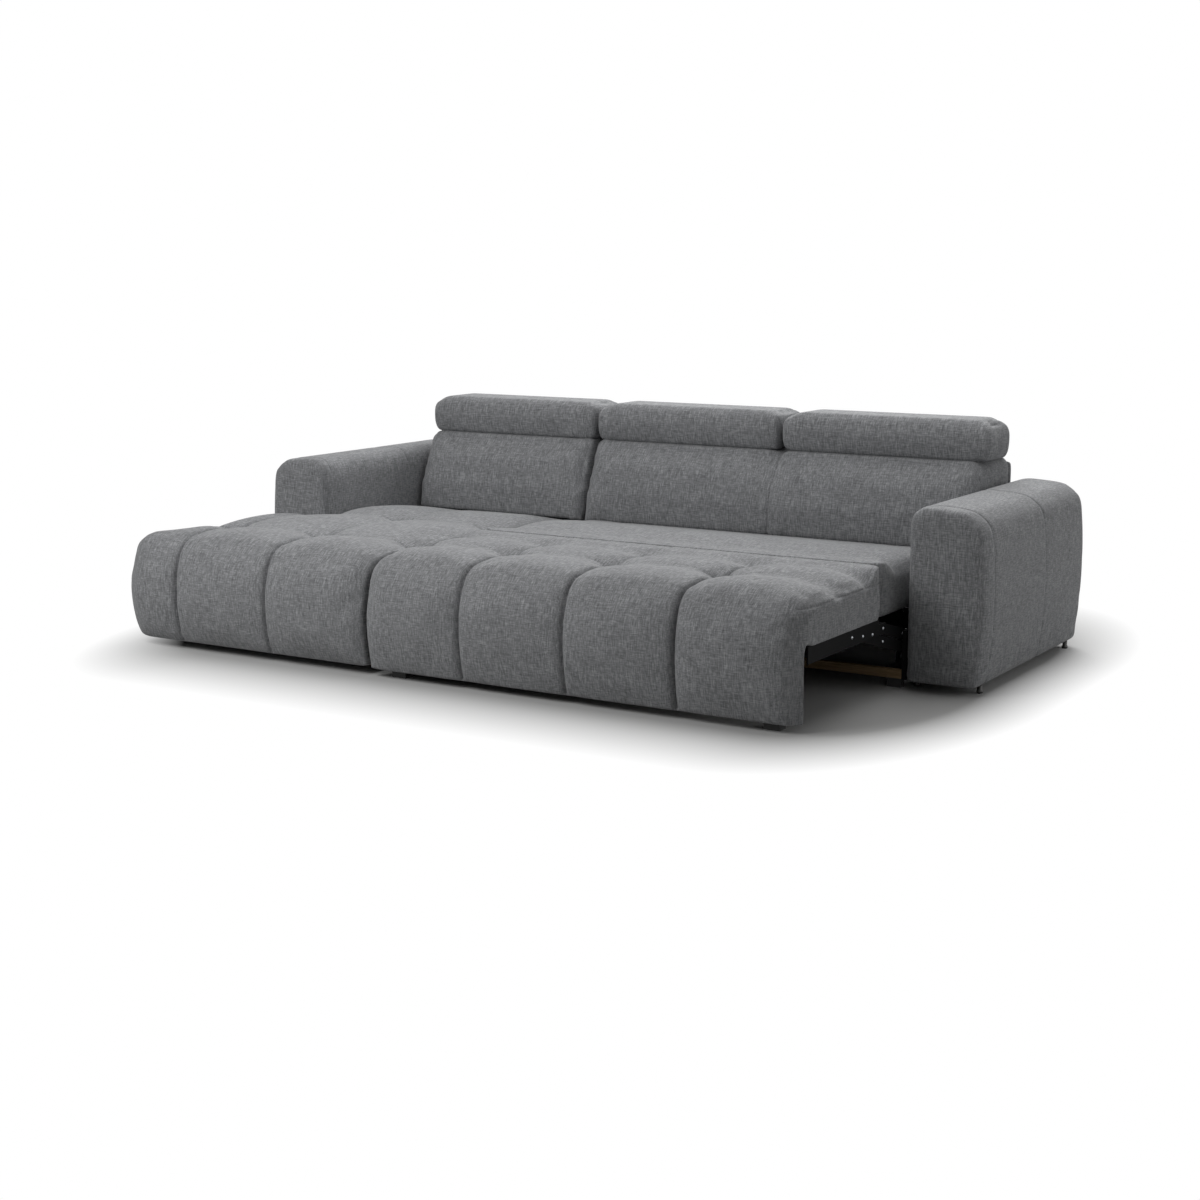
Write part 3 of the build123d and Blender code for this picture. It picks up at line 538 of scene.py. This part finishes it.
def stuff(name, nodes, boards, voxel, pressure, reach, held, rounds):
    """A padded cover over its boards: the CAD form is remeshed, drawn in, blown up as cloth where it isn't
    sewn down, and subdivided. reach gives how far each point may swell, and held which points are sewn."""
    piece = copied(nodes, name)
    if boards:
        inside = core(boards)
        select_only(piece, inside)
        bpy.ops.object.join()
    piece.name = name
    piece.data.name = name
    apply_modifier(piece, "REMESH", mode="VOXEL", voxel_size=voxel)
    apply_modifier(piece, "SMOOTH", factor=0.5, iterations=2)
    before, facing = points_of(piece)
    limit = reach(before, facing)
    sewn = held(before, facing)
    before = before - facing * limit[:, None]
    move_points(piece, before)
    group = piece.vertex_groups.new(name="sewn")
    group.add([int(i) for i in np.flatnonzero(sewn)], 1.0, "REPLACE")
    cloth = piece.modifiers.new("stuffing", "CLOTH")
    cloth.settings.quality = 3
    cloth.settings.mass = 0.3
    cloth.settings.use_pressure = True
    cloth.settings.uniform_pressure_force = pressure
    cloth.settings.vertex_group_mass = "sewn"
    cloth.settings.effector_weights.gravity = 0.0
    cloth.collision_settings.use_collision = False
    cloth.point_cache.frame_end = stuffing_frames
    for number in range(1, stuffing_frames + 1):
        scene.frame_set(number)
    select_only(piece)
    bpy.ops.object.modifier_apply(modifier=cloth.name)
    scene.frame_set(1)
    after, _ = points_of(piece)
    step = after - before
    length = np.linalg.norm(step, axis=1)
    share = np.minimum(1.0, limit / np.maximum(length, 1e-9))
    move_points(piece, before + step * share[:, None])
    piece.vertex_groups.clear()
    apply_modifier(piece, "SUBSURF", levels=rounds, render_levels=rounds)
    select_only(piece)
    bpy.ops.object.shade_smooth()
    piece.data.materials.clear()
    piece.data.materials.append(grey_chenille)
    return piece


def ramp(values, start, end):
    """0 before start, 1 past end, with a smooth rise between."""
    share = np.clip((values - start) / (end - start), 0.0, 1.0)
    return share * share * (3 - 2 * share)


seam_reach = 0.03
seam_weld = 0.0012
seam_least = 0.02


def cut_row(piece, axis, place, share):
    """Cuts a row of edges into the cover along a plane, where a seam is to be sewn."""
    places, facing = points_of(piece)
    chosen = (np.abs(places[:, axis] - place) < seam_reach) & (share(places, facing) > seam_least)
    select_only(piece)
    bpy.ops.object.mode_set(mode="EDIT")
    bpy.ops.mesh.select_mode(type="VERT")
    bpy.ops.mesh.select_all(action="DESELECT")
    bpy.ops.object.mode_set(mode="OBJECT")
    piece.data.vertices.foreach_set("select", chosen)
    bpy.ops.object.mode_set(mode="EDIT")
    bpy.ops.mesh.select_mode(type="FACE")
    across = [0.0, 0.0, 0.0]
    across[axis] = 1.0
    bpy.ops.mesh.bisect(plane_co=[place * part for part in across], plane_no=across, threshold=seam_weld)
    bpy.ops.object.mode_set(mode="OBJECT")


def sew(piece, axis, place, width, depth, share):
    """Draws a seam in: rows are cut on and beside its plane, and the cover falls in sharply to the middle
    row. share gives how much of the depth each point takes."""
    for row in (place - width, place, place + width):
        cut_row(piece, axis, row, share)
    places, facing = points_of(piece)
    off = np.abs(places[:, axis] - place)
    middle = (off < seam_weld) & (share(places, facing) > seam_least)
    places[middle, axis] = place
    off[middle] = 0.0
    dip = depth * np.exp(-off / width) * share(places, facing)
    move_points(piece, places - facing * dip[:, None])


dimple_reach = 0.052
crease_curl = 0.25
crease_width = 0.007
crease_reach = 0.085
fold_height = 0.0015
fold_count = 7
fold_turn = 13
fold_ring = 0.045
fold_band = 0.028


def tuft(piece, x, y, depth, pucker):
    """Pulls a tuft down: a soft dimple, a short sharp crease across it and small folds that run out."""
    places, facing = points_of(piece)
    up = ramp(facing[:, 2], 0.2, 0.5)
    dx = places[:, 0] - x
    dy = places[:, 1] - y
    away = np.hypot(dx, dy)
    angle = np.arctan2(dy, dx)
    bent = np.abs(dy - crease_curl * np.abs(dx) ** 1.5)
    dip = depth * np.exp(-(away / dimple_reach) ** 2)
    dip += pucker * np.exp(-bent / crease_width) * np.exp(-(dx / crease_reach) ** 2)
    folds = fold_height * np.cos(fold_count * angle + fold_turn * x)
    dip += folds * np.exp(-((away - fold_ring) / fold_band) ** 2)
    places[:, 2] -= dip * up
    move_points(piece, places)


cover_low = 0.025
cover_rise = 0.1


def settle(piece, level, rise):
    """Brings the lower edge of a cover down to a level, and lets the cover above it follow over a rise."""
    places, _ = points_of(piece)
    lowest = places[:, 2].min()
    places[:, 2] += (level - lowest) * (1 - ramp(places[:, 2], lowest, lowest + rise))
    move_points(piece, places)


def finish_pad(piece, body, fill, *nodes):
    """Attaches a padded cover to the body that carries it, and hides the CAD pieces that it stands for. fill
    is not used.
    """
    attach(piece, body)
    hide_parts(*nodes)


def open_cover(facing):
    """Points on the top and the front of a cushion."""
    return (facing[:, 2] > 0.3) | (facing[:, 1] < -0.5)


def near(values, lines, width):
    """Points within a width of any of the lines."""
    return np.min(np.abs(values[:, None] - np.array(lines)[None, :]), axis=1) < width


front_bulge = 0.024
front_step = 0.026
front_step_low = 0.24
front_end = 0.05
front_depth = 0.09
bulge_low = 0.03
bulge_high = 0.41


def front_height(places):
    """How far up a padded front each point is, from 0 to 1."""
    return np.clip((places[:, 2] - bulge_low) / (bulge_high - bulge_low), 0, 1)


def bow_front(piece, front, left, right):
    """Lets the front of a cushion bow out between the floor and the roll, less towards its free ends."""
    places, _ = points_of(piece)
    step = front_step * (1 - ramp(places[:, 2], front_step_low, bulge_high))
    bow = step + front_bulge * np.sin(math.pi * front_height(places))
    if left is not None:
        bow *= 0.7 + 0.3 * ramp(places[:, 0], left, left + front_end)
    if right is not None:
        bow *= 0.2 + 0.8 * ramp(-places[:, 0], -right, front_end - right)
    places[:, 1] -= bow * ramp(-places[:, 1], -front - front_depth, -front)
    move_points(piece, places)


# A pair of values below is where a move of the cover starts and where it is full, along an axis.
firm_pressure = 4.0
chaise_low, chaise_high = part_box("chaise_pad")
corner_low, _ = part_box("chaise_corner_pad")
tuft_y = -0.572
chaise_row_y = -0.105
chaise_voxel = 0.018
chaise_swell = 0.01
least_swell = 0.002
chaise_seams = [chaise_low.x - 0.04, (chaise_low.x + chaise_high.x) / 2 - 0.026]
channel_width = 0.006
channel_depth = 0.015
channel_near = (tuft_y, tuft_y + 0.05)
channel_far = (tuft_y + 0.1, tuft_y + 0.26)
tuft_depth = 0.016
tuft_pucker = 0.014
row_depth = 0.013
row_pucker = 0.011
corner_drop = 0.042
corner_full = -0.01
corner_drop_x = (1.27, 1.45)
corner_drop_y = (-0.86, -0.62)
corner_bulge = 0.047
corner_bulge_x = (1.36, 1.45)
corner_round = 0.4
shoulder = 0.85
shoulder_height = (0.5, 0.7)
rear_fall = 0.03
rear_fall_y = (0.0, 0.42)
pad_top_z = (0.2, 0.4)


def chaise_reach(places, facing):
    """Most on the top and the front, hardly any at the ends."""
    soft = np.maximum(ramp(facing[:, 2], 0.1, 0.6), ramp(-facing[:, 1], 0.3, 0.7))
    return least_swell + chaise_swell * soft


def chaise_held(places, facing):
    """Sewn down along the channels, and stapled at the ends and below."""
    return near(places[:, 0], chaise_seams, chaise_voxel / 2) | ~open_cover(facing)


def channel(places, facing):
    """A channel is deep in front of the first tufts, and fades behind them."""
    behind = 0.4 * ramp(places[:, 1], *channel_near) + 0.5 * ramp(places[:, 1], *channel_far)
    return open_cover(facing) * (1 - behind)


chaise_nodes = ["chaise_pad", "chaise_front_pad", "chaise_corner_pad", "chaise_side_pads"]
chaise = stuff("chaise_cushion", chaise_nodes, ["chaise_side_boards", "chaise_front_board"],
               voxel=chaise_voxel, pressure=firm_pressure, reach=chaise_reach, held=chaise_held, rounds=2)
for seam in chaise_seams:
    sew(chaise, 0, seam, channel_width, channel_depth, channel)
for seam in chaise_seams + [chaise_high.x]:
    tuft(chaise, seam, tuft_y, tuft_depth, tuft_pucker)
    tuft(chaise, seam, chaise_row_y, row_depth, row_pucker)
bow_front(chaise, chaise_low.y, corner_low.x, None)
places, _ = points_of(chaise)
outer = ramp(-places[:, 0], *corner_drop_x)
height = front_height(places)
fullness = np.maximum(np.sin(math.pi * height) ** corner_round, shoulder * ramp(height, *shoulder_height))
places[:, 0] -= corner_bulge * fullness * ramp(-places[:, 0], *corner_bulge_x)
drop = corner_full + (corner_drop - corner_full) * ramp(places[:, 1], *corner_drop_y)
fall = drop * outer + rear_fall * ramp(places[:, 1], *rear_fall_y)
places[:, 2] -= ramp(places[:, 2], *pad_top_z) * fall
move_points(chaise, places)
settle(chaise, cover_low, cover_rise)
finish_pad(chaise, "base", 0.8, *chaise_nodes)

# Arms
# Padded boxes over timber frames: each cover is cut with a front panel and side runs, and its seams show as
# thin drawn-in lines over the top and down the outside.
arm_voxel = 0.02
arm_swell = 0.005
arm_front_seam = -0.055
arm_side_seam = 0.43
arm_seam_width = 0.005
arm_seam_depth = 0.005
arm_tip = 0.008
arm_tip_z = (0.45, 0.58)
arm_bulge = 0.03
arm_round = 0.6
arm_bow_depth = 0.12


def arm_reach(places, facing):
    """The same all over."""
    return np.full(len(places), arm_swell)


def lower_edge(places, facing):
    """Stapled down along the underside."""
    return facing[:, 2] < -0.5


for side, sign, arm_crown, arm_bow in (("left", -1, 0.011, 0.0), ("right", 1, -0.002, 0.035)):
    arm = stuff(side + "_arm_cover", [side + "_arm_pad"], [side + "_arm_frame"],
                voxel=arm_voxel, pressure=firm_pressure, reach=arm_reach, held=lower_edge, rounds=2)
    low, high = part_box(side + "_arm_pad")
    middle = (low.x + high.x) / 2
    places, _ = points_of(arm)
    across = (places[:, 0] - middle) * sign / (high.x - low.x) * 2
    height = np.clip((places[:, 2] - low.z) / (high.z - low.z), 0, 1)
    places[:, 2] += (arm_crown - arm_tip * across) * ramp(places[:, 2], *arm_tip_z)
    places[:, 0] += sign * arm_bulge * np.sin(math.pi * height) ** arm_round * ramp(across, 0.5, 1.0)
    places[:, 1] -= arm_bow * ramp(-places[:, 1], -low.y - arm_bow_depth, -low.y)
    move_points(arm, places)
    settle(arm, cover_low, cover_rise)

    def outer_run(places, facing, sign=sign):
        """Over the top and down the outside."""
        return np.maximum(ramp(facing[:, 2], 0.1, 0.4), ramp(facing[:, 0] * sign, 0.3, 0.6))

    for seam in (arm_front_seam, arm_side_seam):
        sew(arm, 1, seam, arm_seam_width, arm_seam_depth, outer_run)
    finish_pad(arm, "base", 0.9, side + "_arm_pad")

# Backs
# Upright foam backs on timber frames: one seat wide on the left, two seats wide on the right with a seam
# between. Flat padded panels close them behind.
back_voxel = 0.018
back_front_swell = 0.01
back_side_swell = 0.003
back_sink = 0.038
back_sink_rise = 0.06
back_lean = 0.014
back_lean_z = (0.5, 0.65)
back_lean_y = (0.57, 0.66)
back_front = 0.012
back_front_y = (0.5, 0.6)
back_joint = -0.406
back_joint_reach = 0.07
back_corner = 0.012
back_corner_z = (0.6, 0.655)
back_foot_z = (0.4, 0.45)
back_edge = 0.006
back_edge_z = (0.62, 0.655)
back_ridge = 0.014
back_ridge_z = (0.6, 0.65)
back_ridge_y = (0.62, 0.69)
back_end = 0.014
back_end_z = (0.55, 0.66)
back_end_x = (1.13, 1.2)
back_seam_width = 0.006
back_seam_depth = 0.007
panel_voxel = 0.015
panel_pressure = 2.0
panel_rise = 0.02
panel_rise_start = 0.05
panel_rise_end = 0.015


def back_reach(places, facing):
    """Most on the front."""
    return np.where(facing[:, 1] < -0.4, back_front_swell, back_side_swell)


def back_held(places, facing):
    """Stapled to the frame below and behind."""
    return (facing[:, 2] < -0.3) | (facing[:, 1] > 0.3)


def back_face(places, facing):
    """Down the front and over the top."""
    return np.maximum(ramp(-facing[:, 1], 0.1, 0.4), ramp(facing[:, 2], 0.3, 0.6))


def panel_reach(places, facing):
    """The same all over, and hardly any."""
    return np.full(len(places), least_swell)


for side in ("left", "right"):
    back = stuff(side + "_back_cover", [side + "_back_pad"], [side + "_back_board"],
                 voxel=back_voxel, pressure=firm_pressure, reach=back_reach, held=back_held, rounds=2)
    low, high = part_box(side + "_back_pad")
    settle(back, low.z - back_sink, back_sink_rise)
    places, _ = points_of(back)
    upper = ramp(places[:, 2], *back_lean_z)
    places[:, 1] -= back_lean * upper * (1 - ramp(places[:, 1], *back_lean_y))
    places[:, 1] -= back_front * (1 - ramp(places[:, 1], *back_front_y))
    inner = 1 - ramp(np.abs(places[:, 0] - back_joint), 0.0, back_joint_reach)
    places[:, 2] += back_corner * inner * ramp(places[:, 2], *back_corner_z)
    places[:, 2] -= back_corner * inner * (1 - ramp(places[:, 2], *back_foot_z))
    places[:, 2] += back_edge * ramp(places[:, 2], *back_edge_z)
    places[:, 2] += back_ridge * ramp(places[:, 2], *back_ridge_z) * ramp(places[:, 1], *back_ridge_y)
    places[:, 2] -= back_end * ramp(places[:, 2], *back_end_z) * ramp(places[:, 0], *back_end_x)
    move_points(back, places)
    if side == "right":
        sew(back, 0, (low.x + high.x) / 2, back_seam_width, back_seam_depth, back_face)
    finish_pad(back, "base", 0.9, side + "_back_pad")
    panel = stuff(side + "_rear_cover", [side + "_rear_panel"], [],
                  voxel=panel_voxel, pressure=panel_pressure, reach=panel_reach, held=lower_edge, rounds=1)
    _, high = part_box(side + "_rear_panel")
    places, _ = points_of(panel)
    places[:, 2] += panel_rise * ramp(places[:, 2], high.z - panel_rise_start, high.z - panel_rise_end)
    move_points(panel, places)
    finish_pad(panel, "base", 0.5, side + "_rear_panel")

# Headrests
# Rounded foam bolsters over a timber board, in the same chenille. Each stands on two steel hinges, and its
# ends are closed by sewn panels.
head_voxel = 0.013
head_swell = 0.006
head_end_swell = 0.003
head_end = 0.028
head_seam_width = 0.005
head_seam_depth = 0.0025
head_fall = 0.012
head_fall_reach = 0.09
head_end_reach = 0.06
head_top_z = (0.74, 0.8)
head_under = 0.014
head_under_rise = 0.05


def head_reach(places, facing):
    """Less on the ends."""
    return np.where(np.abs(facing[:, 0]) > 0.6, head_end_swell, head_swell)


def head_held(places, facing):
    """Stapled to the board below."""
    return facing[:, 2] < -0.6


def round_about(places, facing):
    """All round the bolster, but not on its end panels."""
    return 1 - ramp(np.abs(facing[:, 0]), 0.6, 0.9)


# Each headrest with the growth of its left and right ends, and the fall of its top at the right end
head_ends = [("left", 0.0, 0.006, 0.0), ("middle", 0.006, 0.006, 0.0), ("right", 0.006, 0.014, 0.014)]
for side, left_end, right_end, right_fall in head_ends:
    low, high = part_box(side + "_headrest_pad")
    head = stuff(side + "_headrest_cover", [side + "_headrest_pad"], [side + "_headrest_core"],
                 voxel=head_voxel, pressure=firm_pressure, reach=head_reach, held=head_held, rounds=1)
    places, facing = points_of(head)
    fall = head_fall * (1 - ramp(places[:, 0], low.x, low.x + head_fall_reach))
    fall += right_fall * ramp(places[:, 0], high.x - head_end_reach, high.x)
    places[:, 2] -= fall * ramp(places[:, 2], *head_top_z)
    places[:, 0] += right_end * ramp(facing[:, 0], 0.1, 0.5) - left_end * ramp(-facing[:, 0], 0.1, 0.5)
    move_points(head, places)
    settle(head, low.z - head_under, head_under_rise)
    for seam in (low.x + head_end, high.x - head_end):
        sew(head, 0, seam, head_seam_width, head_seam_depth, round_about)
    finish_pad(head, side + "_headrest", 0.9, side + "_headrest_pad")

# Pull-out seat
# The front half of the bed: a tufted pad over a timber frame, with a padded front that reaches nearly to the
# floor. A seam joins its top to the panel at its right end.
seat_low, seat_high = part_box("pullout_seat_pad")
seat_column = (seat_high.x - seat_low.x) / 4
seat_seams = [seat_low.x + seat_column * i - 0.016 for i in (1, 2, 3)]
end_tuft_depth = 0.014
end_tuft_pucker = 0.011
seat_end_seam = 0.37
end_seam_width = 0.004
end_seam_depth = 0.0035
end_panel_x = 1.1
pad_level = 0.423
skirt_drop = 0.022
skirt_outer = 0.03
skirt_inner = 0.01
skirt_y = (-0.82, -0.76)
skirt_z = (0.275, 0.34)
junction_close = 0.006
junction_start = 0.03
junction_end = 0.005


def seat_held(places, facing):
    """Sewn down along the channels, and stapled at the ends and below."""
    return near(places[:, 0], seat_seams, chaise_voxel / 2) | ~open_cover(facing)


def end_panel(places, facing):
    """The panel at the right end."""
    return ramp(facing[:, 0], 0.3, 0.6) * (places[:, 0] > end_panel_x)


def level_edge(piece, start, end, level):
    """Fills out the rounded top edge of a pad, so that it lies flush with the pad next to it."""
    places, facing = points_of(piece)
    share = ramp(places[:, 1], start, end) if end > start else ramp(-places[:, 1], -start, -end)
    share *= ramp(facing[:, 2], 0.1, 0.4)
    places[:, 2] += (level - places[:, 2]) * share
    move_points(piece, places)


seat = stuff("pullout_seat_cover", ["pullout_seat_pad", "pullout_front_pad"], [],
             voxel=chaise_voxel, pressure=firm_pressure, reach=chaise_reach, held=seat_held, rounds=2)
for seam in seat_seams:
    sew(seat, 0, seam, channel_width, channel_depth, channel)
    tuft(seat, seam, tuft_y, tuft_depth, tuft_pucker)
tuft(seat, seat_low.x, tuft_y, end_tuft_depth, end_tuft_pucker)
level_edge(seat, start=-0.40, end=-0.30, level=pad_level)
sew(seat, 2, seat_end_seam, end_seam_width, end_seam_depth, end_panel)
bow_front(seat, seat_low.y, None, seat_high.x)
settle(seat, cover_low, cover_rise)
places, _ = points_of(seat)
places[:, 1] += junction_close * ramp(places[:, 1], seat_high.y - junction_start, seat_high.y - junction_end)
skirt = ramp(places[:, 0], seat_high.x - skirt_outer, seat_high.x - skirt_inner)
skirt += ramp(-places[:, 0], -seat_low.x - skirt_outer, -seat_low.x - skirt_inner)
skirt *= ramp(places[:, 1], *skirt_y) * (1 - ramp(places[:, 2], *skirt_z))
places[:, 2] -= skirt_drop * skirt
move_points(seat, places)
finish_pad(seat, "pullout", 0.8, "pullout_seat_pad", "pullout_front_pad")

# Rear bed pad
# The rear half of the bed: a smooth foam pad in the same chenille, stapled round a board.
# Lift arms under the board hold it level with the seat.
pad_swell = 0.004
pad_side_swell = 0.001
pad_pressure = 3.0
pad_rear_z = (0.3, 0.4)
pad_rise = 0.05


def pad_reach(places, facing):
    """Most on the top."""
    return np.where(facing[:, 2] > 0.3, pad_swell, pad_side_swell)


def pad_held(places, facing):
    """Stapled to the board below."""
    return facing[:, 2] < -0.3


pad_low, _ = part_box("rear_pad")
pad_board_low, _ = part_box("rear_pad_board")
rear_pad = stuff("rear_bed_pad_cover", ["rear_pad"], [],
                 voxel=chaise_voxel, pressure=pad_pressure, reach=pad_reach, held=pad_held, rounds=1)
places, _ = points_of(rear_pad)
places[:, 2] -= rear_fall * ramp(places[:, 1], *rear_fall_y) * ramp(places[:, 2], *pad_rear_z)
move_points(rear_pad, places)
level_edge(rear_pad, start=-0.10, end=-0.20, level=pad_level)
places, _ = points_of(rear_pad)
places[:, 1] -= junction_close * ramp(-places[:, 1], -pad_low.y - junction_start, -pad_low.y - junction_end)
move_points(rear_pad, places)
settle(rear_pad, pad_board_low.z, pad_rise)
finish_pad(rear_pad, "rear_bed_pad", 0.8, "rear_pad")

# Bounds of the dressed object, without the floor
low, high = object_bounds()
